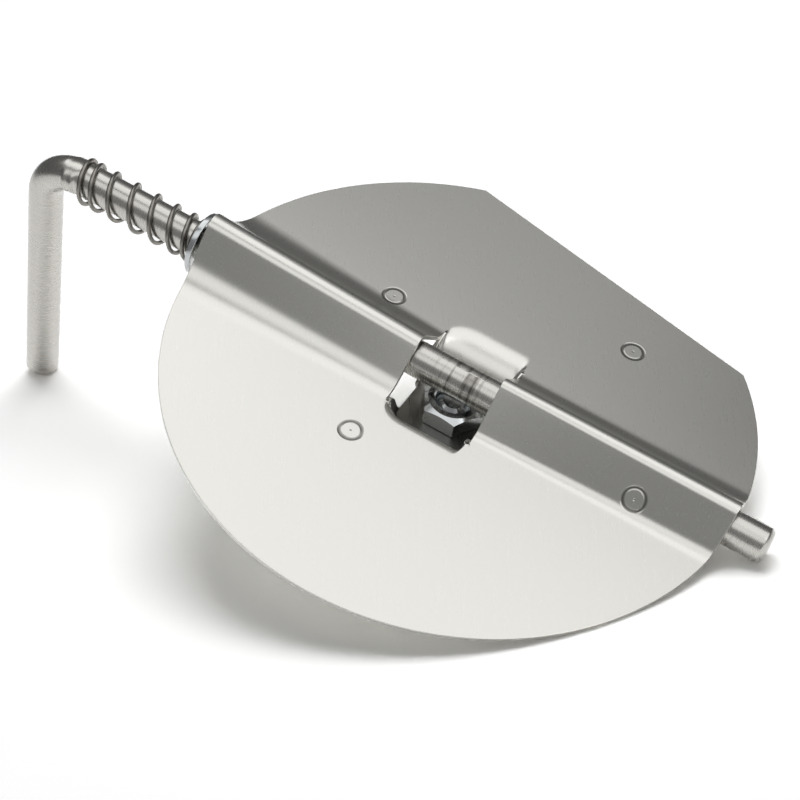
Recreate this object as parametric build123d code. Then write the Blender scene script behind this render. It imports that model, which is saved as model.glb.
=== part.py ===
from build123d import *
import os
from math import copysign, cos, radians, sin, tan

# Draft regulator: a throttle plate that turns on a bent spindle inside a round flue pipe.
# The origin is on the spindle's axis, beside the centre of the round plate.
# +X runs along the spindle to its free end, +Y to the plate's cut edge, +Z up through the ridges.

# Spindle: one round rod, bent square into the handle
rod_diameter = 8.0
free_end_overhang = 8.3  # past the plate's rim, for the hole in the far wall of the flue
stop_to_leg = 8.7  # middle of the spring's stop to the centreline of the handle's leg
handle_drop = 69.8  # spindle axis to the tip of the handle
bend_radius = 10.0  # of the rod's centreline
rod_chamfer = 0.9

# Stop that holds the spring: the rod is pinched above and below, so that it bulges to the front and rear
stop_length = 2.8
stop_width = 2.6
stop_bulge = 0.9
pinch_depth = 0.5

# Plate: a pressed sheet whose two halves fall away from the spindle
plate_radius = 65.0
sheet = 1.0
fall = radians(2.4)
plate_offset = 1.58  # spindle axis to the plate's centre, along Y
plate_drop = 1.85  # spindle axis to the middle of the sheet where its two halves meet
cut_edge_offset = 52.3  # plate centre to the straight cut edge
cut_edge_turn = 12.1  # degrees that the cut edge turns away from the spindle's direction

# Ridges: channels with two flanks that lie over the spindle, one on each side of the window. Each runs straight
# from the window to the rim. A gap is from the spindle to the inside of a flank, slopes are in degrees, and the
# radii are those of the upper side: of the crest, and of the foot that runs out into the flat sheet.
left_ridge = {
    "window": {
        "front_gap": 0.45,
        "front_slope": 44,
        "rear_gap": 0.5,
        "rear_slope": 41,
        "crest_radius": 3.2,
        "front_foot_radius": 8,
        "rear_foot_radius": 6,
    },
    "rim": {
        "front_gap": 1.2,
        "front_slope": 50,
        "rear_gap": 2.4,
        "rear_slope": 48,
        "crest_radius": 3.5,
        "front_foot_radius": 11,
        "rear_foot_radius": 14,
    },
}
right_ridge = {
    "window": {
        "front_gap": 0.5,
        "front_slope": 44,
        "rear_gap": 0.55,
        "rear_slope": 42,
        "crest_radius": 2.2,
        "front_foot_radius": 3.5,
        "rear_foot_radius": 6,
    },
    "rim": {
        "front_gap": 0.3,
        "front_slope": 50,
        "rear_gap": 0.8,
        "rear_slope": 45,
        "crest_radius": 2.8,
        "front_foot_radius": 5,
        "rear_foot_radius": 7,
    },
}

# Window between the ridges, and the strip in it that is pressed down under the spindle
window_left = -11.0
window_right = 9.4
slit_width = 1.0
lip_step = 0.05  # how deep the strip has fallen where it parts from the flat sheet
front_lip_y = -17.7  # where the strip starts to fall, in front
front_lip_radius = 3.0
front_wall_slope = radians(61)
front_corner_radius = 5.5  # of the window's front corners, seen from above
nut_to_rear_corner = 0.15  # flat side of the nut to the floor's rounded rear corner
rear_wall_slope = radians(70)
rear_lip_radius = 10.0
rear_corner_radius = 2.5
floor_corner_radius = 1.2

# Round marks that the press tool leaves in the sheet: x and y of each
mark_places = [(-25.2, 14.8), (25.5, 34.7), (-12.5, -24.2), (45.1, -6.6)]
mark_outer_radius = 2.75
mark_inner_radius = 2.1
mark_dot_radius = 0.4
mark_depth = 0.15

# Clamp nut, welded to the cradle's floor
nut_x = -0.4
nut_y = -0.3
nut_across_flats = 12.7
nut_height = 4.6
nut_countersink = 0.36
nut_face_inset = 0.65  # flat side of the nut to the flat ring on top, inside the chamfer
nut_gap = 1.4  # top of the nut to the underside of the spindle
thread_clearance = 0.04

# Clamp screw, shown loosened
screw_diameter = 8.0
screw_length = 10.0
screw_gap = 2.0  # screw tip to the underside of the spindle
screw_tip_chamfer = 1.6
screw_head_across_flats = 13.0
screw_head_height = 5.3
screw_hole_clearance = 0.5  # round the screw in the cradle's floor
hex_chamfer_slope = radians(30)

# Washer that the spring presses on the end of the left ridge, and on the flue's wall once it is fitted
washer_gap = 0.3  # to the plate's rim
washer_rim_width = 3.1
washer_bore_clearance = 0.2  # round the spindle
washer_thickness = 1.4
washer_edge_chamfer = 0.15
washer_hang = 0.15  # how far the washer's centre hangs under the spindle's axis

# Pressure spring
wire_diameter = 1.0
spring_length = 32.7
coil_clearance = 0.35  # spindle to the inside of the coil
spring_hang = 0.3
active_turns = 5.5
closed_turns = 0.75  # at each end
closed_pitch = 1.06

rod_radius = rod_diameter / 2
free_end_x = plate_radius + free_end_overhang
washer_face_x = -plate_radius - washer_gap  # the side that faces the plate
washer_bore_radius = rod_radius + washer_bore_clearance
stop_x = washer_face_x - washer_thickness - spring_length - stop_length / 2
leg_x = stop_x - stop_to_leg
coil_radius = rod_radius + coil_clearance + wire_diameter / 2  # axis to the wire's centre
cradle_depth = rod_radius + nut_gap + nut_height  # spindle axis to the top of the cradle's floor
# where the floor would meet the rear wall without a rounded corner
floor_rear_y = nut_y + nut_across_flats / 2 + nut_to_rear_corner + floor_corner_radius * tan(rear_wall_slope / 2)
sheet_reach = plate_radius + 1  # half of the sheet's size before the plate is cut out of it
beyond = 4 * plate_radius  # size of the solids that only cut
hair = 0.02  # gap between faces that meet without touching


def on_side(side, along, above):
    """Point (y, z) of the plate's section: along one falling half, and above its middle surface."""
    y = plate_offset + side * (along * cos(fall) + above * sin(fall))
    z = above * cos(fall) - along * sin(fall) - plate_drop
    return (y, z)


def sheet_line(side):
    """Upper side of one flat half, as a line: the turn of its normal from +Z to +Y, and its distance from the axis."""
    turn = side * fall
    return turn, plate_offset * sin(turn) - plate_drop * cos(turn) + sheet / 2


def flank_line(side, slope, gap):
    """Upper side of a ridge's flank, as a line like those of sheet_line."""
    return side * radians(slope), rod_radius + gap + sheet


def crossing(first, second):
    """Point (y, z) where two such lines meet."""
    turn, distance = first
    other_turn, other_distance = second
    spread = sin(turn - other_turn)
    y = (distance * cos(other_turn) - other_distance * cos(turn)) / spread
    z = (other_distance * sin(turn) - distance * sin(other_turn)) / spread
    return (y, z)


def sheet_section(points, radii):
    """Section of a bent sheet: its upper side runs through the points and is rounded at each of them."""
    upper = FilletPolyline(*points, radius=radii)
    return make_face(offset(upper, amount=sheet, side=Side.RIGHT, closed=True).edges())


def ridge_section(sizes):
    front_flank = flank_line(-1, sizes["front_slope"], sizes["front_gap"])
    rear_flank = flank_line(1, sizes["rear_slope"], sizes["rear_gap"])
    points = [
        on_side(-1, sheet_reach, sheet / 2),
        crossing(front_flank, sheet_line(-1)),
        crossing(front_flank, rear_flank),
        crossing(rear_flank, sheet_line(1)),
        on_side(1, sheet_reach, sheet / 2),
    ]
    radii = [sizes["front_foot_radius"], sizes["crest_radius"], sizes["rear_foot_radius"]]
    return sheet_section(points, radii)


def ridge_stretch(ridge, window_x, rim_x):
    """The whole sheet on one side of the window's middle. A ridge's sizes change evenly along it."""
    sections = []
    for x in ((window_left + window_right) / 2, copysign(sheet_reach, rim_x)):
        share = (x - window_x) / (rim_x - window_x)
        sizes = {name: size + share * (ridge["rim"][name] - size) for name, size in ridge["window"].items()}
        sections.append(Plane.YZ.offset(x) * ridge_section(sizes))
    return loft(sections, ruled=True)


def window_outline():
    """The window seen from above. Its front and rear edges lie where the strip has fallen by lip_step."""
    front = front_lip_y + (2 * front_lip_radius * lip_step) ** 0.5
    rear = rear_lip_y() - (2 * rear_lip_radius * lip_step) ** 0.5
    width = window_right - window_left
    depth = rear - front
    outline = Pos((window_left + window_right) / 2, (front + rear) / 2) * Rectangle(width, depth)
    corners = outline.vertices().group_by(Axis.Y)
    outline = fillet(corners[0], front_corner_radius)
    corners = outline.vertices().group_by(Axis.Y)
    return fillet(corners[-1], rear_corner_radius)


def rear_edge():
    """Point (y, z) where the rear wall's line meets the falling sheet, both on the upper side."""
    wall_distance = -floor_rear_y * sin(rear_wall_slope) - cradle_depth * cos(rear_wall_slope)
    return crossing((-rear_wall_slope, wall_distance), sheet_line(1))


def rear_lip_y():
    """Where the strip starts to fall, in the rear."""
    edge_y, edge_z = rear_edge()
    return edge_y + rear_lip_radius * tan((rear_wall_slope + fall) / 2) * cos(fall)


def cradle_section():
    """The pressed-down strip in section: lip, wall, floor, wall and lip, as thick as the sheet."""
    lip_turn = front_wall_slope + fall
    lip_along = (plate_offset - front_lip_y) / cos(fall) - front_lip_radius * tan(lip_turn / 2)
    front_edge = on_side(-1, lip_along, sheet / 2)
    floor_front_y = front_edge[0] + (front_edge[1] + cradle_depth) / tan(front_wall_slope)
    points = [
        on_side(-1, plate_radius / 2, sheet / 2),
        front_edge,
        (floor_front_y, -cradle_depth),
        (floor_rear_y, -cradle_depth),
        rear_edge(),
        on_side(1, plate_radius / 2, sheet / 2),
    ]
    return sheet_section(points, [front_lip_radius, floor_corner_radius, floor_corner_radius, rear_lip_radius])


def press_mark(x, y):
    """One round mark seen from above, a ring and a dot, as a column through the sheet."""
    ring = Cylinder(mark_outer_radius, beyond) - Cylinder(mark_inner_radius, beyond)
    return Pos(x, y, 0) * (ring + Cylinder(mark_dot_radius, beyond))


def damper_plate():
    ridged = ridge_stretch(left_ridge, window_left, -plate_radius)
    ridged += ridge_stretch(right_ridge, window_right, plate_radius)
    cut_away = Rot(0, 0, -cut_edge_turn) * Pos(0, cut_edge_offset + beyond / 2, 0) * Box(beyond, beyond, beyond)
    disc = Cylinder(plate_radius, beyond) - cut_away
    plate = ridged & (Pos(0, plate_offset, 0) * disc)
    window = extrude(window_outline(), amount=beyond / 2, both=True)
    plate -= window
    strip_left = window_left + slit_width
    strip_right = window_right - slit_width
    strip = extrude(Plane.YZ.offset(strip_left) * cradle_section(), amount=strip_right - strip_left)
    plate += strip & window
    spared = Pos(0, 0, -mark_depth) * ridged
    for x, y in mark_places:
        plate -= press_mark(x, y) - spared
    screw_hole = Cylinder(screw_diameter / 2 + screw_hole_clearance, 4 * sheet)
    plate -= Pos(nut_x, nut_y, -cradle_depth) * screw_hole
    return plate


def spindle():
    corner = (leg_x, 0, 0)
    path = FilletPolyline((free_end_x, 0, 0), corner, (leg_x, 0, -handle_drop), radius=bend_radius)
    rod = sweep(Plane(origin=path @ 0, z_dir=path % 0) * Circle(rod_radius), path=path)
    end_edges = rod.edges().sort_by(Axis.X)[-1:] + rod.edges().sort_by(Axis.Z)[:1]
    rod = chamfer(end_edges, rod_chamfer)
    bulge = Box(stop_length, rod_diameter + 2 * stop_bulge, stop_width)
    bulge = fillet(bulge.edges().filter_by(Axis.Z), stop_bulge)
    rod += Pos(stop_x, 0, 0) * bulge
    for side in (-1, 1):
        pinch_z = side * (rod_radius - pinch_depth + rod_radius / 2)
        rod -= Pos(stop_x, 0, pinch_z) * Box(stop_length, rod_diameter, rod_radius)
    return rod


def hex_cone(across_flats, face_radius):
    """Cone that chamfers the corners of a hexagon, with its flat ring at z = 0 and the slope below."""
    depth = across_flats
    base_radius = face_radius + depth / tan(hex_chamfer_slope)
    return Pos(0, 0, -depth / 2) * Cone(base_radius, face_radius, depth)


def clamp_nut():
    body = extrude(RegularPolygon(nut_across_flats / 2, 6, major_radius=False, rotation=0), amount=nut_height)
    body &= Pos(0, 0, nut_height) * hex_cone(nut_across_flats, nut_across_flats / 2 - nut_face_inset)
    bore_radius = screw_diameter / 2 + thread_clearance
    body -= Cylinder(bore_radius, 4 * nut_height)
    sink = Cone(bore_radius, bore_radius + nut_countersink, nut_countersink)
    body -= Pos(0, 0, nut_height - nut_countersink / 2) * sink
    return Pos(nut_x, nut_y, -cradle_depth) * body


def clamp_screw():
    tip_z = -rod_radius - screw_gap
    shank = Pos(0, 0, tip_z - screw_length / 2) * Cylinder(screw_diameter / 2, screw_length)
    shank = chamfer(shank.edges().sort_by(Axis.Z)[-1:], screw_tip_chamfer)
    outline = RegularPolygon(screw_head_across_flats / 2, 6, major_radius=False, rotation=0)
    head = extrude(outline, amount=-screw_head_height)
    cone = hex_cone(screw_head_across_flats, screw_head_across_flats / 2 - hair)
    head &= Pos(0, 0, -screw_head_height) * Rot(180, 0, 0) * cone
    return Pos(nut_x, nut_y, 0) * (shank + Pos(0, 0, tip_z - screw_length) * head)


def wall_washer():
    ring = Cylinder(washer_bore_radius + washer_rim_width, washer_thickness)
    ring = chamfer(ring.edges(), washer_edge_chamfer)
    ring -= Cylinder(washer_bore_radius, 2 * washer_thickness)
    centre_x = washer_face_x - washer_thickness / 2
    return Pos(centre_x, 0, -washer_hang) * Rot(0, 90, 0) * ring


def coil(turns, pitch, start_z, start_turn):
    """One stretch of wire about the Z axis, cut square at its ends."""
    path = Helix(pitch=pitch, height=turns * pitch, radius=coil_radius)
    path = Pos(0, 0, start_z) * Rot(0, 0, 360 * start_turn) * path
    section = Plane(origin=path @ 0, z_dir=path % 0) * Circle(wire_diameter / 2)
    return sweep(section, path=path, is_frenet=True), path


def pressure_spring():
    """Right-hand coil: a closed end, the active turns and a closed end, from the stop to the washer."""
    first_z = stop_x + stop_length / 2 + wire_diameter / 2 + hair
    last_z = washer_face_x - washer_thickness - wire_diameter / 2 - hair
    closed_height = closed_turns * closed_pitch
    active_height = last_z - first_z - 2 * closed_height
    stretches = [
        (closed_turns, closed_pitch),
        (active_turns, active_height / active_turns),
        (closed_turns, closed_pitch),
    ]
    spring = None
    z = first_z
    turn = 0.5 - closed_turns
    for turns, pitch in stretches:
        wire, path = coil(turns, pitch, z, turn)
        if spring is None:
            spring = wire
        else:
            joint = Pos(path @ 0) * Sphere(wire_diameter / 2)
            spring = spring + joint + wire
        z += turns * pitch
        turn += turns
    return Pos(0, 0, -spring_hang) * Rot(0, 90, 0) * spring


os.makedirs("parts", exist_ok=True)
pieces = {
    "damper_plate": damper_plate(),
    "spindle": spindle(),
    "pressure_spring": pressure_spring(),
    "wall_washer": wall_washer(),
    "clamp_nut": clamp_nut(),
    "clamp_screw": clamp_screw(),
}
for name, piece in pieces.items():
    export_step(piece, f"parts/{name}.step")
    print(name, round(piece.volume, 1))
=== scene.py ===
from math import acos, atan2, cos, pi, radians, sin, tan

import bpy
import numpy as np
from mathutils import Matrix, Vector


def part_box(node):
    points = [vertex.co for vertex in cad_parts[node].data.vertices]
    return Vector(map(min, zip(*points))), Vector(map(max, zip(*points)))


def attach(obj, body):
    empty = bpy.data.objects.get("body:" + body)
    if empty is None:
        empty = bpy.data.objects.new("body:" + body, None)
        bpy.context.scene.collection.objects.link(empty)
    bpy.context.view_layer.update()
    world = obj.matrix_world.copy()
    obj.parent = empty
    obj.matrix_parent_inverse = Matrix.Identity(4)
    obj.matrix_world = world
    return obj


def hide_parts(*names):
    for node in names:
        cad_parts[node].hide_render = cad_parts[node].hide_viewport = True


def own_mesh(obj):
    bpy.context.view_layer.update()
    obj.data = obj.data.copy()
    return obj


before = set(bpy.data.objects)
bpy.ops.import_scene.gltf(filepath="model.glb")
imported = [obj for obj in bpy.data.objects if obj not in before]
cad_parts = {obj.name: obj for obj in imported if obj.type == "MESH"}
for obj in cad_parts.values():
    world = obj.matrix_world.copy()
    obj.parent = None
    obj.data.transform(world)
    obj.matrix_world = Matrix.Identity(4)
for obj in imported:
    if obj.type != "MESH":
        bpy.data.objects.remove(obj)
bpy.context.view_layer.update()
mm = 0.001
print("frame loaded:", sorted(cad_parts))

# Lengths in the dictionaries are millimetres, in the frame's own axes: +X along the spindle to its free end,
# +Y to the plate's cut edge, +Z up through the ridges. makePiece turns them into metres.


# Shared tools

def hexColour(code):
    # sRGB hex to linear
    parts = [int(code[k:k + 2], 16) / 255 for k in (1, 3, 5)]
    linear = [c / 12.92 if c <= 0.04045 else ((c + 0.055) / 1.055) ** 2.4 for c in parts]
    return (*linear, 1.0)


def addNode(tree, kind, settings=None, links=None):
    # settings name either a property of the node or one of its inputs
    node = tree.nodes.new(kind)
    for name, value in (settings or {}).items():
        if isinstance(name, str) and hasattr(node, name):
            setattr(node, name, value)
        else:
            node.inputs[name].default_value = value
    for name, source in (links or {}).items():
        tree.links.new(source, node.inputs[name])
    return node


def newMaterial(name):
    material = bpy.data.materials.new(name)
    material.use_nodes = True
    material.node_tree.nodes.clear()
    return material, material.node_tree


def boxCorners(node):
    # lowest and highest corner of a CAD node, in millimetres
    return [np.array(corner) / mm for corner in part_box(node)]


def gridQuads(rows, columns, wrap=False, start=0):
    # quads of a grid of points that is stored row by row; wrap joins the last column to the first
    index = start + np.arange(rows * columns).reshape(rows, columns)
    if wrap:
        index = np.concatenate([index, index[:, :1]], axis=1)
    corners = [index[:-1, :-1], index[1:, :-1], index[1:, 1:], index[:-1, 1:]]
    return np.stack(corners, axis=-1).reshape(-1, 4)


def faceNormals(points, faces):
    # unscaled normals of quads: the cross product of their diagonals
    corners = points[faces]
    return np.cross(corners[:, 2] - corners[:, 0], corners[:, 3] - corners[:, 1])


def weld(points, faces, reach=1e-4):
    # joins points that lie in the same place, and drops faces that have collapsed
    keys = np.round(points / reach).astype(np.int64)
    kept, index = np.unique(keys, axis=0, return_index=True, return_inverse=True)[1:]
    faces = index.ravel()[faces]
    sides = np.stack([faces[:, k] != faces[:, (k + 1) % 4] for k in range(4)], axis=-1)
    return points[kept], faces[sides.sum(axis=1) >= 3]


def makePiece(name, points, faces, sharpAngle):
    # a face with a doubled corner becomes a triangle
    mesh = bpy.data.meshes.new(name)
    loops = [list(dict.fromkeys(face)) for face in np.asarray(faces).tolist()]
    mesh.from_pydata((np.asarray(points) * mm).tolist(), [], loops)
    mesh.polygons.foreach_set("use_smooth", np.ones(len(mesh.polygons), bool))
    mesh.set_sharp_from_angle(angle=sharpAngle)
    mesh.update()
    piece = bpy.data.objects.new(name, mesh)
    bpy.context.scene.collection.objects.link(piece)
    return piece


def addUv(piece, u, v):
    # one pair of values for each point, in millimetres
    layer = piece.data.uv_layers.new(name="alongAndAround")
    corner = np.empty(len(piece.data.loops), dtype=np.int32)
    piece.data.loops.foreach_get("vertex_index", corner)
    layer.data.foreach_set("uv", np.stack([u[corner], v[corner]], axis=-1).astype(np.float32).ravel())


def show(piece, node, body, material):
    piece.data.materials.append(material)
    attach(piece, body)
    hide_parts(node)
    return piece


def spaced(start, end, step):
    return np.linspace(start, end, int(round(abs(end - start) / step)) + 1)


# Damper plate: one pressed sheet. Its upper skin is a grid of sections across the spindle, one for each
# column. A section is drawn by straight lines with an arc at each bend. A line is the turn of its normal,
# from +Z towards +Y, and its distance from the spindle's axis.

plateBox = boxCorners("damper_plate")
rodRadius = 4.0
edgeRounding = 0.1      # of the sheared edges
plate = {
    "radius": plateBox[1][0] - edgeRounding,
    "offset": 1.58,         # spindle's axis to the plate's centre, along Y
    "drop": 1.85,           # spindle's axis down to the middle of the sheet where its halves meet
    "sheet": 1.0,
    "fall": radians(2.4),
    "cutEdgeOffset": 52.3 - edgeRounding,
    "cutEdgeTurn": radians(12.1),
    "bandFront": -21.5,     # the columns run straight across between these two
    "bandRear": 21.0,
    "slitLeft": -10.5,      # middle of each slit
    "slitRight": 8.9,
    "slitFront": -13.0,     # the slits' ends
    "slitRear": 13.4,
    "slitWidthFront": 1.0,
    "slitWidthRear": 0.25,
    "slitEnd": 0.8,         # length of a slit's round end
    "slitPull": 4.0,        # how far from a slit the columns give way to it
    "frontSpread": 3.0,     # how much further out the flat starts at the rim than at the window
    "rearSpread": 5.0,
    "floorZ": -10.0,
    "floorCorner": 1.2,
    "cornerPower": 2.2,     # of the superellipse that rounds the lips' corners
    "columnStep": 1.4,
    "fineStep": 0.45,       # of the columns near the window
    "fineLeft": -16,        # where the columns get closer together
    "fineRight": 14,
    "lipColumns": 24,
}
leftRidge = {
    "window": {
        "frontGap": 0.45, "frontSlope": 44, "rearGap": 0.5, "rearSlope": 41,
        "crest": 3.2, "frontFoot": 8.0, "rearFoot": 6.0,
    },
    "rim": {
        "frontGap": 1.2, "frontSlope": 50, "rearGap": 2.4, "rearSlope": 48,
        "crest": 3.5, "frontFoot": 11.0, "rearFoot": 14.0,
    },
}
rightRidge = {
    "window": {
        "frontGap": 0.5, "frontSlope": 44, "rearGap": 0.55, "rearSlope": 42,
        "crest": 2.2, "frontFoot": 3.5, "rearFoot": 6.0,
    },
    "rim": {
        "frontGap": 0.3, "frontSlope": 50, "rearGap": 0.8, "rearSlope": 45,
        "crest": 2.8, "frontFoot": 5.0, "rearFoot": 7.0,
    },
}
frontLip = {"y": -17.1, "radius": 3.0, "slope": radians(61), "cornerLeft": 5.8, "cornerRight": 1.3}
rearLip = {"y": 17.9, "radius": 10.0, "slope": radians(70), "cornerLeft": 6.5, "cornerRight": 1.8}
plateRows = {
    "apron": 8,
    "flat": 8,
    "foot": 16,
    "flank": 6,
    "crest": 26,
    "frontLip": 16,
    "rearLip": 22,
    "wall": 6,
    "floor": 12,
    "floorCorner": 8,
}


def sheetHeight(y):
    # height of the flat sheet's upper side
    away = np.abs(y - plate["offset"])
    return (plate["sheet"] / 2 - away * sin(plate["fall"])) / cos(plate["fall"]) - plate["drop"]


def sheetLine(side):
    turn = side * plate["fall"]
    return turn, plate["offset"] * sin(turn) - plate["drop"] * cos(turn) + plate["sheet"] / 2


def crossing(first, second):
    spread = np.sin(first[0] - second[0])
    y = (first[1] * np.cos(second[0]) - second[1] * np.cos(first[0])) / spread
    z = (second[1] * np.sin(first[0]) - first[1] * np.sin(second[0])) / spread
    return y, z


def bend(first, second, radius, count):
    # arc between two lines: its centre lies where both meet when they are moved inwards by the radius
    way = np.sign(second[0] - first[0])
    y, z = crossing((first[0], first[1] - way * radius), (second[0], second[1] - way * radius))
    turn = first[0] + (second[0] - first[0]) * np.linspace(0, 1, count)
    return np.stack([y + way * radius * np.sin(turn), z + way * radius * np.cos(turn)], axis=-1)


def joined(bends, counts):
    # the bends in their order, with evenly spaced rows on the straight lines between them
    rows = [bends[0]]
    for before, after, count in zip(bends[:-1], bends[1:], counts):
        step = np.linspace(0, 1, count + 2)[None, 1:-1, None]
        rows.append(before[:, -1:] + (after[:, :1] - before[:, -1:]) * step)
        rows.append(after)
    return np.concatenate(rows, axis=1)


def flatRows(start, end, count):
    # rows on the flat sheet from one y to another, without the last
    y = start + (end - start) * np.linspace(0, 1, count)[:-1]
    return np.stack([y, sheetHeight(y)], axis=-1)


def ridgeRows(ridge, share):
    # the ridge's sizes change evenly from the window to the rim
    size = {name: at + share * (ridge["rim"][name] - at) for name, at in ridge["window"].items()}
    thick = rodRadius + plate["sheet"]
    frontFlank = (-np.radians(size["frontSlope"]), thick + size["frontGap"])
    rearFlank = (np.radians(size["rearSlope"]), thick + size["rearGap"])
    bends = [
        bend(sheetLine(-1), frontFlank, size["frontFoot"], plateRows["foot"]),
        bend(frontFlank, rearFlank, size["crest"], plateRows["crest"]),
        bend(rearFlank, sheetLine(1), size["rearFoot"], plateRows["foot"]),
    ]
    return joined(bends, [plateRows["flank"]] * 2)


def wallLine(start, lip, side):
    # a wall of the cradle is tangent to its lip's arc, whose centre lies below the start of the fall
    turn = side * plate["fall"]
    y = start - lip["radius"] * sin(turn)
    z = sheetHeight(start) - lip["radius"] * cos(turn)
    wallTurn = -side * lip["slope"]
    return wallTurn, y * sin(wallTurn) + z * cos(wallTurn) + lip["radius"]


def lipStart(x, lip, slitEnd):
    # where each column starts to fall: the lip's own place in the middle, easing back along a superellipse to
    # the slit's end at both slits
    left = np.clip((plate["slitLeft"] + lip["cornerLeft"] - x) / lip["cornerLeft"], 0, 1)
    right = np.clip((x - plate["slitRight"] + lip["cornerRight"]) / lip["cornerRight"], 0, 1)
    power = plate["cornerPower"]
    ease = (1 - np.maximum(left, right) ** power) ** (1 / power)
    return (slitEnd + (lip["y"] - slitEnd) * ease)[:, None]


def slitHalfWidth(y):
    # half of a slit's width: round at both ends, and a quarter as wide at the rear as at the front
    share = (y - plate["slitFront"]) / (plate["slitRear"] - plate["slitFront"])
    width = plate["slitWidthFront"] + (plate["slitWidthRear"] - plate["slitWidthFront"]) * share
    inside = np.minimum(y - plate["slitFront"], plate["slitRear"] - y)
    depth = np.clip(inside / plate["slitEnd"], 0, 1)
    return (width / 2 + edgeRounding) * np.sqrt(1 - (1 - depth) ** 2)


def rimX(y):
    return np.sqrt(plate["radius"] ** 2 - (y - plate["offset"]) ** 2)


def besideWindow(columns, slitX, ridge):
    # the plate beside the window: its columns are stretched along the spindle until the last is on the rim
    sign = np.sign(slitX)
    share = ((columns - slitX) / (sign * plate["radius"] - slitX))[:, None]
    ridgeYz = ridgeRows(ridge, share)
    frontStart = plate["slitFront"] - plate["frontSpread"] * share
    rearStart = plate["slitRear"] + plate["rearSpread"] * share
    parts = [
        flatRows(plate["bandFront"], frontStart, plateRows["apron"]),
        flatRows(frontStart, ridgeYz[:, :1, 0], plateRows["flat"]),
        ridgeYz,
        flatRows(rearStart, ridgeYz[:, -1:, 0], plateRows["flat"])[:, ::-1],
        flatRows(plate["bandRear"], rearStart, plateRows["apron"])[:, ::-1],
    ]
    section = np.concatenate(parts, axis=1)
    y = section[..., 0]
    x = slitX + share * (sign * rimX(y) - slitX)
    pull = np.clip(1 - np.abs(x - slitX) / plate["slitPull"], 0, 1) ** 2
    x = x + sign * slitHalfWidth(y) * pull
    return np.concatenate([x[..., None], section], axis=-1)


def insideWindow(columns):
    # the strip that is pressed down: flat sheet, front wall, floor, rear wall and flat sheet; the floor's
    # hole for the clamp screw, which the CAD has, is missing here
    frontStart = lipStart(columns, frontLip, plate["slitFront"])
    rearStart = lipStart(columns, rearLip, plate["slitRear"])
    frontWall = wallLine(frontStart, frontLip, -1)
    rearWall = wallLine(rearStart, rearLip, 1)
    floorLine = (0.0, plate["floorZ"])
    bends = [
        bend(sheetLine(-1), frontWall, frontLip["radius"], plateRows["frontLip"]),
        bend(frontWall, floorLine, plate["floorCorner"], plateRows["floorCorner"]),
        bend(floorLine, rearWall, plate["floorCorner"], plateRows["floorCorner"]),
        bend(rearWall, sheetLine(1), rearLip["radius"], plateRows["rearLip"]),
    ]
    parts = [
        flatRows(plate["bandFront"], frontStart, plateRows["apron"]),
        joined(bends, [plateRows["wall"], plateRows["floor"], plateRows["wall"]]),
        flatRows(plate["bandRear"], rearStart, plateRows["apron"])[:, ::-1],
    ]
    section = np.concatenate(parts, axis=1)
    x = np.broadcast_to(columns[:, None], section.shape[:2])
    fromLeft = np.clip(1 - (x - plate["slitLeft"]) / plate["slitPull"], 0, 1) ** 2
    fromRight = np.clip(1 - (plate["slitRight"] - x) / plate["slitPull"], 0, 1) ** 2
    x = x + slitHalfWidth(section[..., 0]) * (fromLeft - fromRight)
    return np.concatenate([x[..., None], section], axis=-1)


def frontRim(edge):
    # a rim point for each point on the band's front edge, spread evenly over the arc
    reach = rimX(plate["bandFront"])
    angle = edge[:, 0] / reach * atan2(reach, plate["offset"] - plate["bandFront"])
    y = plate["offset"] - plate["radius"] * np.cos(angle)
    return np.stack([plate["radius"] * np.sin(angle), y, sheetHeight(y)], axis=-1)


def rearRim(edge):
    # the same for the rear, over the arc, the straight cut edge and the arc again: the columns nearest to the
    # cut edge's two corners are put on them
    reach = rimX(plate["bandRear"])
    span = atan2(reach, plate["bandRear"] - plate["offset"])
    half = acos(plate["cutEdgeOffset"] / plate["radius"])
    corners = plate["cutEdgeTurn"] + np.array([-half, half])
    share = edge[:, 0] / reach
    picked = np.abs(share[None, :] - corners[:, None] / span).argmin(axis=1)
    angle = np.interp(share, [-1, *share[picked], 1], [-span, *corners, span])
    onCut = np.abs(angle - plate["cutEdgeTurn"]) < half + 1e-9
    away = np.where(onCut, plate["cutEdgeOffset"] / np.cos(angle - plate["cutEdgeTurn"]), plate["radius"])
    y = plate["offset"] + away * np.cos(angle)
    return np.stack([away * np.sin(angle), y, sheetHeight(y)], axis=-1)


def stripColumns():
    # closer together at the slits, where the lips' corners turn quickly
    corner = 1 - np.cos(np.linspace(0, pi / 2, plate["lipColumns"]))
    left = plate["slitLeft"] + frontLip["cornerLeft"] * corner
    right = plate["slitRight"] - frontLip["cornerRight"] * corner[::-1]
    between = np.linspace(left[-1], right[0], plate["lipColumns"])[1:-1]
    return np.concatenate([left, between, right])


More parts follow.
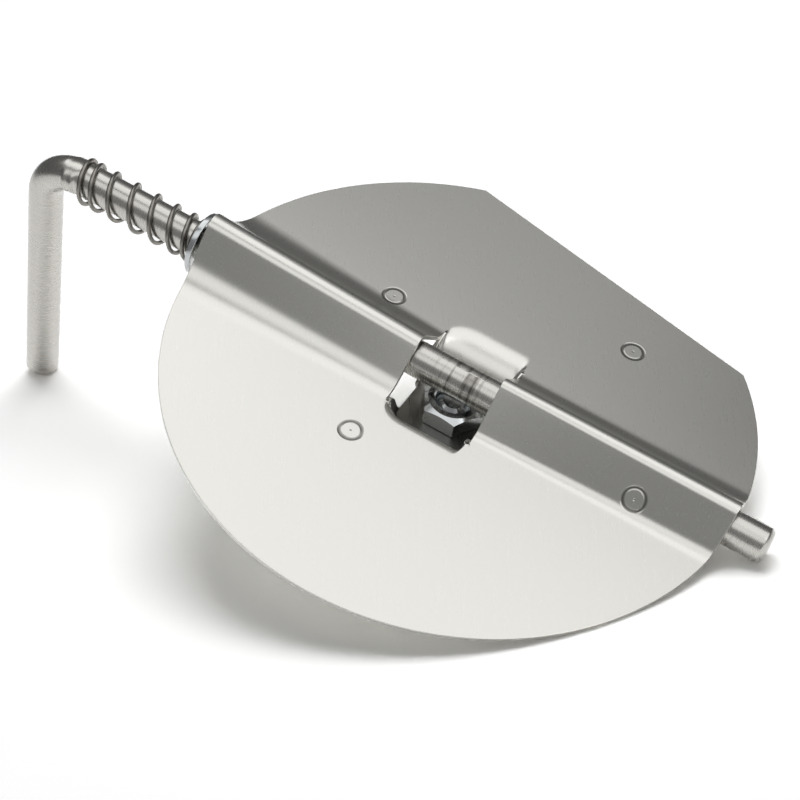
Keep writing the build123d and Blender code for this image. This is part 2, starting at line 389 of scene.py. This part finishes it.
def thicken(points, faces, thickness, rounding):
    # closes a skin into a sheet: a lower skin along the normals, and between the two a rim that bulges out by
    # the rounding, in a quarter circle, a straight side and a quarter circle
    normal = np.zeros_like(points)
    for corner in range(4):
        np.add.at(normal, faces[:, corner], faceNormals(points, faces))
    normal /= np.linalg.norm(normal, axis=1, keepdims=True)
    edges = np.stack([faces, np.roll(faces, -1, axis=1)], axis=-1).reshape(-1, 2)
    edges = edges[edges[:, 0] != edges[:, 1]]
    size = len(points)
    forward = edges[:, 0] * size + edges[:, 1]
    backward = edges[:, 1] * size + edges[:, 0]
    edges = edges[~np.isin(forward, backward)]
    along = points[edges[:, 1]] - points[edges[:, 0]]
    along /= np.linalg.norm(along, axis=1, keepdims=True)
    outward = np.zeros_like(points)
    for end in range(2):
        np.add.at(outward, edges[:, end], np.cross(along, normal[edges[:, end]]))
    rim = np.unique(edges)
    outward = outward[rim] / np.linalg.norm(outward[rim], axis=1, keepdims=True)
    turn = np.array([pi / 4, pi / 2])
    out = rounding * np.concatenate([np.sin(turn), np.sin(turn)[::-1]])
    down = rounding * (1 - np.cos(turn))
    down = np.concatenate([down, (thickness - down)[::-1]])
    rows = points[rim] + outward * out[:, None, None] - normal[rim] * down[:, None, None]
    place = np.zeros(size, dtype=np.int64)
    place[rim] = np.arange(len(rim))
    start = 2 * size + len(rim) * np.arange(len(out))
    levels = [edges] + [first + place[edges] for first in start] + [edges + size]
    sides = [np.stack([a[:, 1], a[:, 0], b[:, 0], b[:, 1]], axis=-1) for a, b in zip(levels[:-1], levels[1:])]
    everyPoint = np.concatenate([points, points - normal * thickness, rows.reshape(-1, 3)])
    return everyPoint, np.concatenate([faces, faces[:, ::-1] + size] + sides)


def buildPlate():
    wide, fine, reach = plate["columnStep"], plate["fineStep"], plate["radius"]
    leftRim = spaced(-reach, plate["fineLeft"], wide)
    left = np.concatenate([leftRim, spaced(plate["fineLeft"], plate["slitLeft"], fine)[1:]])
    rightWindow = spaced(plate["slitRight"], plate["fineRight"], fine)
    right = np.concatenate([rightWindow, spaced(plate["fineRight"], reach, wide)[1:]])
    grids = [
        besideWindow(left, plate["slitLeft"], leftRidge),
        insideWindow(stripColumns()),
        besideWindow(right, plate["slitRight"], rightRidge),
    ]
    front = frontRim(np.concatenate([grid[:, 0] for grid in grids]))
    rear = rearRim(np.concatenate([grid[:, -1] for grid in grids]))
    points, faces, start, column = [], [], 0, 0
    for grid in grids:
        stop = column + len(grid)
        whole = np.concatenate([front[column:stop, None], grid, rear[column:stop, None]], axis=1)
        points.append(whole.reshape(-1, 3))
        faces.append(gridQuads(whole.shape[0], whole.shape[1], start=start))
        start += len(points[-1])
        column = stop
    points, faces = weld(np.concatenate(points), np.concatenate(faces))
    points, faces = thicken(points, faces, plate["sheet"], edgeRounding)
    return makePiece("damperPlate", points, faces, radians(20))


# Surfaces of revolution

def revolved(radius, height, sides):
    # points about the Z axis: radius and height are arrays of rows, or of rows and sides
    angle = np.linspace(0, 2 * pi, sides, endpoint=False)[None, :]
    radius = np.broadcast_to(np.atleast_2d(np.asarray(radius).T).T, (len(radius), sides))
    height = np.broadcast_to(np.atleast_2d(np.asarray(height).T).T, (len(height), sides))
    return np.stack([radius * np.cos(angle), radius * np.sin(angle), height], axis=-1)


def onSpindle(points, centre, lean=(0.0, 0.0)):
    # turns the Z axis of a piece to the spindle's +X and puts it in its place; lean tips that axis to Y and Z
    axis = Vector((1.0, lean[0], lean[1])).normalized()
    turn = np.array(axis.to_track_quat("Z", "Y").to_matrix())
    return points @ turn.T + np.asarray(centre)


# Spindle: a round rod swept along its axis, from the free end over the bend to the handle's tip

spindleBox = boxCorners("spindle")
rod = {
    "radius": rodRadius,
    "freeEnd": spindleBox[1][0],
    "legX": spindleBox[0][0] + rodRadius,
    "tipZ": spindleBox[0][2],
    "bendRadius": 10.0,
    "chamfer": 0.9,
    "sides": 72,
    "stopX": -100.8,
    "stopLength": 2.8,
    "stopRamp": 0.8,
    "stopBulge": 0.85,
    "stopDent": 0.4,        # of the bulge, that the pinching tool leaves in its middle
    "pinch": 0.2,
}


def rodAxis(s):
    # place and direction of the rod's axis at a distance from the free end: straight, bend, straight
    radius = rod["bendRadius"]
    straight = rod["freeEnd"] - rod["legX"] - radius
    turn = np.clip((s - straight) / radius, 0, pi / 2)
    rest = np.clip(s - straight - radius * pi / 2, 0, None)
    x = rod["freeEnd"] - np.minimum(s, straight) - radius * np.sin(turn)
    z = -radius * (1 - np.cos(turn)) - rest
    zero = np.zeros_like(s)
    return np.stack([x, zero, z], axis=-1), np.stack([-np.cos(turn), zero, -np.sin(turn)], axis=-1)


def rodStations():
    # distance from the free end and radius of each ring, with a centre dimple and a chamfer at both ends
    radius, chamfer = rod["radius"], rod["chamfer"]
    length = rod["freeEnd"] - rod["legX"] + rod["bendRadius"] * (pi / 2 - 2) - rod["tipZ"]
    stopAt = rod["freeEnd"] - rod["stopX"]
    bendAt = rod["freeEnd"] - rod["legX"] - rod["bendRadius"]
    bendEnd = bendAt + rod["bendRadius"] * pi / 2
    capS = np.array([0.15, 0.15, 0.0, 0.0, 0.04, chamfer - 0.06, chamfer + 0.04])
    capR = np.array([0.0, 0.4, 0.75, radius - chamfer - 0.05, radius - chamfer + 0.05, radius - 0.04, radius])
    straight = spaced(chamfer + 0.6, stopAt - 4, 2.0)
    stop = spaced(stopAt - 3.8, bendEnd, 0.2)
    leg = spaced(bendEnd + 2, length - chamfer - 0.6, 2.0)
    s = np.concatenate([capS, straight, stop, leg, length - capS[::-1]])
    plain = np.full(len(straight) + len(stop) + len(leg), radius)
    return s, np.concatenate([capR, plain, capR[::-1]])


def buildSpindle():
    s, radius = rodStations()
    centre, along = rodAxis(s)
    across = np.stack([along[:, 2], np.zeros(len(s)), -along[:, 0]], axis=-1)
    angle = np.linspace(0, 2 * pi, rod["sides"], endpoint=False)
    # the stop: the rod is squeezed above and below, and bulges to the front and rear
    fromMiddle = np.abs(rod["freeEnd"] - s - rod["stopX"])
    squeeze = 0.5 - 0.5 * np.tanh((fromMiddle - rod["stopLength"] / 2) / rod["stopRamp"] * 2)
    dent = 1 - rod["stopDent"] * np.exp(-(fromMiddle / rod["stopRamp"]) ** 2)
    bulge = rod["stopBulge"] * dent[:, None] * np.abs(np.sin(angle)) ** 4
    pinch = rod["pinch"] * np.abs(np.cos(angle)) ** 4
    radius = radius[:, None] + squeeze[:, None] * (bulge - pinch[None, :])
    ring = across[:, None, :] * np.cos(angle)[None, :, None]
    ring = ring + np.array([0, 1.0, 0]) * np.sin(angle)[None, :, None]
    points = centre[:, None, :] + radius[..., None] * ring
    faces = gridQuads(len(s), rod["sides"], wrap=True)
    piece = makePiece("spindle", points.reshape(-1, 3), faces, radians(30))
    u = np.repeat(s, rod["sides"])
    v = np.tile(angle * rod["radius"], len(s))
    addUv(piece, u, v)
    return piece


# Wall washer: a stamped ring with slightly rounded edges, which leans on the end of the left ridge

washerBox = boxCorners("wall_washer")
washer = {
    "faceX": washerBox[1][0],
    "thickness": washerBox[1][0] - washerBox[0][0],
    "outer": (washerBox[1][1] - washerBox[0][1]) / 2,
    "bore": 4.2,
    "edge": 0.2,
    "hang": 0.15,
    "lean": (0.01, 0.034),  # its lower side lies nearer to the plate
    "sides": 96,
}


def buildWasher():
    # section of the ring, from the bore round the outside and back, with a quarter circle at each corner
    half, edge = washer["thickness"] / 2, washer["edge"]
    turn = np.linspace(0, pi / 2, 4)
    ringR, ringZ = [], []
    for radius, outSign, upSign in (("outer", 1, 1), ("outer", 1, -1), ("bore", -1, -1), ("bore", -1, 1)):
        sweep = turn if outSign * upSign > 0 else turn[::-1]
        ringR.append(washer[radius] - outSign * edge * (1 - np.sin(sweep)))
        ringZ.append(upSign * (half - edge * (1 - np.cos(sweep))))
    ringR, ringZ = np.concatenate(ringR), np.concatenate(ringZ)
    ringR, ringZ = np.append(ringR, ringR[0]), np.append(ringZ, ringZ[0])
    points = revolved(ringR, ringZ, washer["sides"]).reshape(-1, 3)
    faces = gridQuads(len(ringR), washer["sides"], wrap=True)
    centre = (washer["faceX"] - washer["thickness"] / 2, 0, -washer["hang"])
    points, faces = weld(onSpindle(points, centre, washer["lean"]), faces)
    return makePiece("wallWasher", points, faces, radians(35))


# Pressure spring: a round wire along a helix whose pitch changes from turn to turn

spring = {
    "wire": 1.0,
    "coilRadius": 4.85,
    "hang": 0.3,
    "firstX": -98.7,        # of the wire's start
    "pitches": [0.6, 2.6, 4.5, 5.8, 5.6, 5.1, 4.6, 2.3, 1.0],     # at each turn
    "turns": 7.9,
    "startTurn": 0.46,      # where on the coil the wire starts: 0 is its top, 0.25 its front
    "lean": 0.8,            # how far each turn's side at leanTurn lies back to the handle
    "leanAtWasher": 0.25,
    "leanTurn": 0.86,
    "washerGap": 0.05,
    "pressed": 0.38,        # share of its length that is left when the washer is all the way back
    "stepsPerTurn": 48,
    "sides": 14,
}


def buildSpring():
    # the wire's centre line: angle from the top through the front, and the sum of the pitches along the axis
    turns = spring["turns"]
    turn = np.linspace(0, turns, int(turns * spring["stepsPerTurn"]))
    pitch = np.interp(turn, np.arange(len(spring["pitches"])), spring["pitches"])
    along = np.concatenate([[0], np.cumsum((pitch[1:] + pitch[:-1]) / 2 * np.diff(turn))])
    last = washer["faceX"] - washer["thickness"] - spring["wire"] / 2 - spring["washerGap"]
    along = spring["firstX"] + along * (last - spring["firstX"]) / along[-1]
    angle = 2 * pi * (turn + spring["startTurn"])
    radius = spring["coilRadius"]
    leans = [spring["lean"], spring["lean"], spring["leanAtWasher"]]
    lean = np.interp(turn, [0, turns - 1.5, turns - 0.5], leans)
    x = along - lean * np.cos(angle - 2 * pi * spring["leanTurn"])
    centre = np.stack([x, -radius * np.sin(angle), radius * np.cos(angle) - spring["hang"]], axis=-1)
    direction = np.gradient(centre, axis=0)
    direction /= np.linalg.norm(direction, axis=1, keepdims=True)
    outward = np.stack([0 * x, -np.sin(angle), np.cos(angle)], axis=-1)
    aside = np.cross(direction, outward)
    aside /= np.linalg.norm(aside, axis=1, keepdims=True)
    outward = np.cross(aside, direction)
    around = np.linspace(0, 2 * pi, spring["sides"], endpoint=False)[None, :, None]
    ring = outward[:, None] * np.cos(around) + aside[:, None] * np.sin(around)
    size = np.full(len(turn), spring["wire"] / 2)
    size[[0, -1]] = 0
    size[[1, -2]] *= 0.9
    centre[[0, -1]] = centre[[1, -2]]
    points = centre[:, None] + size[:, None, None] * ring
    faces = gridQuads(len(turn), spring["sides"], wrap=True)
    piece = makePiece("pressureSpring", points.reshape(-1, 3), faces, radians(50))
    addUv(piece, np.repeat(turn * 2 * pi * radius, spring["sides"]), np.tile(around.ravel(), len(turn)))
    return piece


# Clamp nut and clamp screw: hexagons whose corners are cut by a cone

nutBox = boxCorners("clamp_nut")
nut = {
    "x": (nutBox[0][0] + nutBox[1][0]) / 2,
    "y": (nutBox[0][1] + nutBox[1][1]) / 2,
    "bottom": nutBox[0][2],
    "top": nutBox[1][2],
    "halfFlats": (nutBox[1][1] - nutBox[0][1]) / 2,
    "faceRadius": 5.7,
    "bore": 4.04,
    "countersink": 4.4,
    "chamferSlope": radians(30),
    "bottomChamfer": 0.25,
    "sides": 144,
}
screwBox = boxCorners("clamp_screw")
screw = {
    "tip": screwBox[1][2],
    "radius": 3.96,
    "tipRadius": 2.4,
    "tipChamfer": 1.5,
    "threadDepth": 0.6,
    "pitch": 1.25,
    "threadRows": 100,
    "headTop": screwBox[0][2] + 5.3,    # the height of an M8 head
    "headBottom": screwBox[0][2],
    "halfFlats": 6.5,
    "headFace": 6.1,
    "sides": 144,
}


def hexRadius(halfFlats, sides):
    # distance from the axis to the side of a hexagon with two corners on the X axis
    angle = np.linspace(0, 2 * pi, sides, endpoint=False)
    return halfFlats / np.cos((angle % (pi / 3)) - pi / 6)


def buildNut():
    outer = hexRadius(nut["halfFlats"], nut["sides"])
    one = np.ones(nut["sides"])
    sink = nut["countersink"] - nut["bore"]
    topEdge = nut["top"] - (outer - nut["faceRadius"]) * tan(nut["chamferSlope"])
    low = nut["bottomChamfer"]
    rings = [
        (nut["bore"] * one, nut["bottom"] * one),
        (nut["bore"] * one, (nut["top"] - sink) * one),
        (nut["countersink"] * one, nut["top"] * one),
        (nut["faceRadius"] * one, nut["top"] * one),
        (outer, topEdge),
        (outer, (nut["bottom"] + low) * one),
        (outer - low, nut["bottom"] * one),
        (nut["bore"] * one, nut["bottom"] * one),
    ]
    radius, height = np.array(rings).transpose(1, 0, 2)
    points = revolved(radius, height, nut["sides"]).reshape(-1, 3) + [nut["x"], nut["y"], 0]
    points, faces = weld(points, gridQuads(len(radius), nut["sides"], wrap=True)[:, ::-1])
    return makePiece("clampNut", points, faces, radians(18))


def buildScrew():
    # thread: a triangle wave in height that climbs one pitch for each turn, cut off by the tip's cone
    sides = screw["sides"]
    angle = np.linspace(0, 2 * pi, sides, endpoint=False)[None, :]
    height = np.linspace(screw["tip"], screw["headTop"], screw["threadRows"])[:, None]
    wave = np.abs(((height / screw["pitch"] - angle / (2 * pi)) % 1) * 2 - 1)
    thread = screw["radius"] - screw["threadDepth"] * wave
    flare = (screw["radius"] - screw["tipRadius"]) / screw["tipChamfer"]
    shank = np.minimum(thread, screw["tipRadius"] + (screw["tip"] - height) * flare)
    one = np.ones((1, sides))
    hexagon = hexRadius(screw["halfFlats"], sides)[None, :]
    lowEdge = screw["headBottom"] + (hexagon - screw["headFace"]) * tan(nut["chamferSlope"])
    radius = np.concatenate([0 * one, shank, hexagon, hexagon, screw["headFace"] * one, 0 * one])
    bottom = screw["headBottom"] * one
    heights = [screw["tip"] * one, height * one, screw["headTop"] * one, lowEdge, bottom, bottom]
    points = revolved(radius, np.concatenate(heights), sides).reshape(-1, 3) + [nut["x"], nut["y"], 0]
    points, faces = weld(points, gridQuads(len(radius), sides, wrap=True))
    return makePiece("clampScrew", points, faces, radians(25))


# Materials

def metal(tree, look, pattern, normal=None, dark=None):
    # a metal whose roughness follows a pattern, by half of its spread either way; where dark is 1, its colour
    # is the dark one
    low, high = look["roughness"] - look["spread"] / 2, look["roughness"] + look["spread"] / 2
    limits = {"From Min": 0.3, "From Max": 0.7, "To Min": low, "To Max": high}
    rough = addNode(tree, "ShaderNodeMapRange", limits, {"Value": pattern})
    links = {"Roughness": rough.outputs[0]}
    if normal is not None:
        links["Normal"] = normal
    if dark is not None:
        pair = {"Color1": look["colour"], "Color2": look["darkColour"]}
        links["Base Color"] = addNode(tree, "ShaderNodeMixRGB", pair, {"Fac": dark}).outputs[0]
    shader = addNode(tree, "ShaderNodeBsdfPrincipled", {"Base Color": look["colour"], "Metallic": 1.0}, links)
    addNode(tree, "ShaderNodeOutputMaterial", links={"Surface": shader.outputs[0]})


def pressMarks(tree, place, look):
    # depth of the press tool's marks: a ring with steep sides and a dot, on the sheet's upper side alone; the
    # stretch makes up for a sheet that lies at an angle there
    sunk = None
    for x, y, stretch in look["marks"]:
        centred = {"operation": "SUBTRACT", 1: (x * mm, y * mm, 0)}
        away = addNode(tree, "ShaderNodeVectorMath", centred, {0: place})
        level = {"operation": "MULTIPLY", 1: (1, stretch, 0)}
        flat = addNode(tree, "ShaderNodeVectorMath", level, {0: away.outputs[0]})
        reach = addNode(tree, "ShaderNodeVectorMath", {"operation": "LENGTH"}, {0: flat.outputs[0]})
        middle = {"operation": "SUBTRACT", 1: look["markRadius"] * mm}
        offset = addNode(tree, "ShaderNodeMath", middle, {0: reach.outputs["Value"]})
        side = addNode(tree, "ShaderNodeMath", {"operation": "ABSOLUTE"}, {0: offset.outputs[0]})
        ring, dot = (side.outputs[0], look["markHalfWidth"]), (reach.outputs["Value"], look["dotRadius"])
        for value, half in (ring, dot):
            inner = (half - look["markSide"]) * mm
            limits = {"From Min": inner, "From Max": half * mm, "To Min": 1.0, "To Max": 0.0}
            shape = addNode(tree, "ShaderNodeMapRange", limits, {"Value": value}).outputs[0]
            if sunk is None:
                sunk = shape
            else:
                deeper = addNode(tree, "ShaderNodeMath", {"operation": "MAXIMUM"}, {0: sunk, 1: shape})
                sunk = deeper.outputs[0]
    facing = addNode(tree, "ShaderNodeTexCoord").outputs["Normal"]
    height = addNode(tree, "ShaderNodeSeparateXYZ", links={0: facing}).outputs[2]
    upper = addNode(tree, "ShaderNodeMath", {"operation": "GREATER_THAN", 1: 0.0}, {0: height})
    onTop = addNode(tree, "ShaderNodeMath", {"operation": "MULTIPLY"}, {0: sunk, 1: upper.outputs[0]})
    return onTop.outputs[0]


def plateSteel():
    # steel sheet, cold rolled to a satin skin: the fine grain in the rolling direction blurs reflections a
    # little, the press tool's round marks are dark, and painted shade darkens the cradle's walls towards its
    # floor
    look = {
        "colour": hexColour("#cfcec9"),
        "darkColour": hexColour("#84837f"),
        # painted shade: the cradle's walls take the dark colour between these two heights
        "paintedShadeBelow": (-9.0, -6.5),    # heights between which the cradle's walls get darker
        "roughness": 0.28,
        "spread": 0.015,
        "grainTurn": radians(59),       # the rolling direction, from the spindle
        "grainWidth": 0.3,              # real grain is finer, drawn coarse enough to show
        "grainLength": 25.0,
        "marks": [(-25.2, 14.8, 1.0), (25.5, 34.7, 1.0), (-12.5, -24.2, 1.0), (45.1, -6.6, 1.4)],
        "markRadius": 2.42,
        "markHalfWidth": 0.5,
        "markSide": 0.35,
        "dotRadius": 0.3,
        "markDepth": 0.1,
    }
    material, tree = newMaterial("satinSheetSteel")
    place = addNode(tree, "ShaderNodeTexCoord").outputs["Object"]
    lay = addNode(tree, "ShaderNodeMapping", {"Rotation": (0, 0, look["grainTurn"])}, {"Vector": place})
    stretch = [1 / (size * mm) for size in (look["grainLength"], look["grainWidth"], look["grainWidth"])]
    scaled = addNode(tree, "ShaderNodeMapping", {"Scale": stretch}, {"Vector": lay.outputs[0]})
    grain = addNode(tree, "ShaderNodeTexNoise", {"Scale": 1.0, "Detail": 3.0}, {"Vector": scaled.outputs[0]})
    depth = {"Strength": 1.0, "Distance": look["markDepth"] * mm, "invert": True}
    marks = pressMarks(tree, place, look)
    sunk = addNode(tree, "ShaderNodeBump", depth, {"Height": marks})
    height = addNode(tree, "ShaderNodeSeparateXYZ", links={0: place}).outputs[2]
    # painted shade in the cradle: full dark colour below the lower height, fading out at the upper
    low, high = [limit * mm for limit in look["paintedShadeBelow"]]
    fade = {"From Min": low, "From Max": high, "To Min": 1.0, "To Max": 0.0}
    cradlePaintedShade = addNode(tree, "ShaderNodeMapRange", fade, {"Value": height})
    dark = addNode(tree, "ShaderNodeMath", {"operation": "MAXIMUM"}, {0: cradlePaintedShade.outputs[0], 1: marks})
    metal(tree, look, grain.outputs[0], sunk.outputs[0], dark.outputs[0])
    return material


def rodSteel():
    # bright drawn steel rod: fine scratches run round it, and in the window dark rings where the clamp and
    # the plate have rubbed it
    look = {
        "colour": hexColour("#bfbdb8"),
        "darkColour": hexColour("#66635e"),
        "roughness": 0.27,
        "spread": 0.03,
        "scratch": 0.35,                # real scratches are finer, drawn coarse enough to show
        "scratchRound": 0.04,           # how quickly a scratch changes round the rod
        "ringWidth": 1.3,
        "ringRound": 0.06,
        "ringShows": (0.48, 0.68),      # noise between which a ring fades in
        "ringsMiddle": rod["freeEnd"] - 1.0,    # from the free end
        "ringsReach": 8.0,
    }
    material, tree = newMaterial("drawnRodSteel")
    uv = addNode(tree, "ShaderNodeUVMap", {"uv_map": "alongAndAround"}).outputs[0]
    narrow = {"Scale": (1 / look["scratch"], look["scratchRound"], 1)}
    scaled = addNode(tree, "ShaderNodeMapping", narrow, {"Vector": uv})
    noise = {"Scale": 1.0, "Detail": 4.0}
    scratch = addNode(tree, "ShaderNodeTexNoise", noise, {"Vector": scaled.outputs[0]})
    along = addNode(tree, "ShaderNodeSeparateXYZ", links={0: uv}).outputs[0]
    offset = addNode(tree, "ShaderNodeMath", {"operation": "SUBTRACT", 1: look["ringsMiddle"]}, {0: along})
    away = addNode(tree, "ShaderNodeMath", {"operation": "ABSOLUTE"}, {0: offset.outputs[0]})
    reach = {"From Min": look["ringsReach"] / 2, "From Max": look["ringsReach"], "To Min": 1.0, "To Max": 0.0}
    near = addNode(tree, "ShaderNodeMapRange", reach, {"Value": away.outputs[0]})
    broad = {"Scale": (1 / look["ringWidth"], look["ringRound"], 1)}
    wide = addNode(tree, "ShaderNodeMapping", broad, {"Vector": uv})
    rings = addNode(tree, "ShaderNodeTexNoise", {"Scale": 1.0, "Detail": 3.0}, {"Vector": wide.outputs[0]})
    faint, full = look["ringShows"]
    fade = {"From Min": faint, "From Max": full}
    shown = addNode(tree, "ShaderNodeMapRange", fade, {"Value": rings.outputs[0]})
    product = {"operation": "MULTIPLY"}
    dark = addNode(tree, "ShaderNodeMath", product, {0: near.outputs[0], 1: shown.outputs[0]})
    metal(tree, look, scratch.outputs[0], dark=dark.outputs[0])
    return material


def springSteel():
    # hard drawn spring wire, darkened by its heat treatment, with drawing lines along the wire
    look = {"colour": hexColour("#8a8782"), "roughness": 0.32, "spread": 0.1}
    material, tree = newMaterial("darkSpringWire")
    uv = addNode(tree, "ShaderNodeUVMap", {"uv_map": "alongAndAround"}).outputs[0]
    scaled = addNode(tree, "ShaderNodeMapping", {"Scale": (0.15, 3.0, 1)}, {"Vector": uv})
    lines = addNode(tree, "ShaderNodeTexNoise", {"Scale": 1.0, "Detail": 3.0}, {"Vector": scaled.outputs[0]})
    metal(tree, look, lines.outputs[0])
    return material


def zincPlating():
    # bright zinc plating over steel: bluish, with a faint mottle left by the bath
    look = {"colour": hexColour("#bec1c2"), "roughness": 0.2, "spread": 0.05, "mottle": 1.6}
    material, tree = newMaterial("zincPlatedSteel")
    place = addNode(tree, "ShaderNodeTexCoord").outputs["Object"]
    size = {"Scale": 1 / (look["mottle"] * mm), "Detail": 2.0}
    mottle = addNode(tree, "ShaderNodeTexNoise", size, {"Vector": place})
    metal(tree, look, mottle.outputs[0])
    return material


zinc = zincPlating()
show(buildPlate(), "damper_plate", "damper", plateSteel())
print("plate built")
show(buildSpindle(), "spindle", "spindle", rodSteel())
pressureSpring = show(buildSpring(), "pressure_spring", "spindle", springSteel())
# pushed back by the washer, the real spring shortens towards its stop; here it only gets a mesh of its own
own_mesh(pressureSpring)
show(buildWasher(), "wall_washer", "washer", zinc)
show(buildNut(), "clamp_nut", "damper", zinc)
show(buildScrew(), "clamp_screw", "clamp", zinc)
print("spindle, spring, washer, nut and screw built")


# Floor: the regulator lies on the handle's tip, the spindle's free end and the rim

floor = {
    "contacts": [
        (rod["legX"] + 2.7, -1.4, rod["tipZ"]),
        (rod["freeEnd"] - 0.9, -1.0, -3.9),
        (52.3, -37.0, -4.0),
    ],
    "size": 3.0,
    "colour": hexColour("#e6e6e6"),
    "overexposed": 2.6,    # how much brighter the paper is seen, so that it is white outside the shadow
}


def buildFloor():
    a, b, c = [Vector(point) * mm for point in floor["contacts"]]
    up = (c - a).cross(b - a).normalized()
    up = up if up.z > 0 else -up
    side = up.cross(Vector((0, 1, 0))).normalized()
    ahead = up.cross(side)
    half = floor["size"] / 2
    centre = (a + b + c) / 3 - up * 0.05 * mm
    signs = ((-1, -1), (1, -1), (1, 1), (-1, 1))
    corners = [centre + side * (half * i) + ahead * (half * j) for i, j in signs]
    faces = [(0, 1, 2, 3)] if side.cross(ahead).dot(up) > 0 else [(3, 2, 1, 0)]
    mesh = bpy.data.meshes.new("floor")
    mesh.from_pydata(corners, [], faces)
    sheet = bpy.data.objects.new("floor", mesh)
    bpy.context.scene.collection.objects.link(sheet)
    sheet.data.materials.append(floorPaper())


def floorPaper():
    # white studio paper, overexposed where it is seen, straight or in the metal, and plain where it lights
    # other things; its underside is clear, so that low views aren't blocked
    material, tree = newMaterial("whitePaper")
    ray = addNode(tree, "ShaderNodeLightPath").outputs["Is Diffuse Ray"]
    bright = [channel * floor["overexposed"] for channel in floor["colour"][:3]] + [1.0]
    plain = addNode(tree, "ShaderNodeBsdfDiffuse", {"Color": floor["colour"]})
    exposed = addNode(tree, "ShaderNodeBsdfDiffuse", {"Color": bright})
    upper = addNode(tree, "ShaderNodeMixShader", links={0: ray, 1: exposed.outputs[0], 2: plain.outputs[0]})
    clear = addNode(tree, "ShaderNodeBsdfTransparent")
    back = addNode(tree, "ShaderNodeNewGeometry").outputs["Backfacing"]
    both = addNode(tree, "ShaderNodeMixShader", links={0: back, 1: upper.outputs[0], 2: clear.outputs[0]})
    addNode(tree, "ShaderNodeOutputMaterial", links={"Surface": both.outputs[0]})
    return material


# Light: a wide softbox overhead and to the rear whose light fades towards the front and towards the horizon,
# a very large dim fill in front, a key light from the rear left, and a dark grey room. Elevations are counted
# from the plate's own plane, over the zenith; glow is what a mirror would show.

lamps = {
    "softbox": {"low": 49.5, "high": 92, "azimuth": 5, "width": 2.0, "distance": 0.75, "glow": 1.27},
    "softboxFront": {"low": 92, "high": 126, "azimuth": -12, "width": 2.0, "distance": 0.75, "glow": 1.0},
    "softboxFoot": {"low": 30, "high": 49, "azimuth": -50, "width": 1.3, "distance": 0.85, "glow": 0.34},
    "frontFill": {"low": 105, "high": 175, "azimuth": 0, "width": 3.0, "distance": 1.3, "glow": 0.13},
    "keyLight": {"low": 38, "high": 72, "azimuth": -42, "width": 0.7, "distance": 1.0, "glow": 3.5},
}
paperLamp = "keyLight"      # lights the paper and throws the shadow; the others are cards seen in the metal
room = {"grey": 0.13}


def addLamp(name, lamp):
    # azimuth is counted from +Y towards +X
    azimuth, elevation = radians(lamp["azimuth"]), radians((lamp["low"] + lamp["high"]) / 2)
    toLamp = Vector((sin(azimuth) * cos(elevation), cos(azimuth) * cos(elevation), sin(elevation)))
    data = bpy.data.lights.new(name, "AREA")
    data.shape = "RECTANGLE"
    data.size = lamp["width"]
    data.size_y = 2 * lamp["distance"] * tan(radians(lamp["high"] - lamp["low"]) / 2)
    data.energy = lamp["glow"] * pi * data.size * data.size_y
    light = bpy.data.objects.new(name, data)
    light.visible_diffuse = name == paperLamp
    light.visible_glossy = name != paperLamp
    light.location = toLamp * lamp["distance"]
    light.rotation_euler = toLamp.to_track_quat("Z", "Y").to_euler()
    bpy.context.scene.collection.objects.link(light)


def buildRoom():
    world = bpy.data.worlds.new("greyRoom")
    world.use_nodes = True
    tree = world.node_tree
    tree.nodes.clear()
    ray = addNode(tree, "ShaderNodeLightPath").outputs["Is Camera Ray"]
    grey = addNode(tree, "ShaderNodeBackground", {"Color": (1, 1, 1, 1), "Strength": room["grey"]})
    white = addNode(tree, "ShaderNodeBackground", {"Color": (1, 1, 1, 1), "Strength": 1.0})
    mixed = addNode(tree, "ShaderNodeMixShader", links={0: ray, 1: grey.outputs[0], 2: white.outputs[0]})
    addNode(tree, "ShaderNodeOutputWorld", links={"Surface": mixed.outputs[0]})
    bpy.context.scene.world = world


# Camera: a long lens, in front and to the right, looking down on the plate

camera = {
    "place": (96.23, -277.18, 310.26),
    "aim": (-8.35, -11.09, -1.85),
    "roll": radians(12.5),
    "lens": 90.0,
    "sensor": 36.0,
    "nearest": 10.0,        # what is closer isn't drawn
}


def buildCamera():
    place, aim = Vector(camera["place"]) * mm, Vector(camera["aim"]) * mm
    data = bpy.data.cameras.new("camera")
    data.lens = camera["lens"]
    data.sensor_width = camera["sensor"]
    data.clip_start = camera["nearest"] * mm
    eye = bpy.data.objects.new("camera", data)
    back = (place - aim).normalized()
    right = Vector((0, 0, 1)).cross(back).normalized()
    up = back.cross(right)
    level = Matrix((right, up, back)).transposed()
    rolled = level @ Matrix.Rotation(camera["roll"], 3, "Z")
    eye.matrix_world = Matrix.Translation(place) @ rolled.to_4x4()
    bpy.context.scene.collection.objects.link(eye)
    bpy.context.scene.camera = eye


buildFloor()
for name, lamp in lamps.items():
    addLamp(name, lamp)
buildRoom()
buildCamera()
bpy.context.scene.view_settings.view_transform = "Standard"
print("floor, light and camera set")
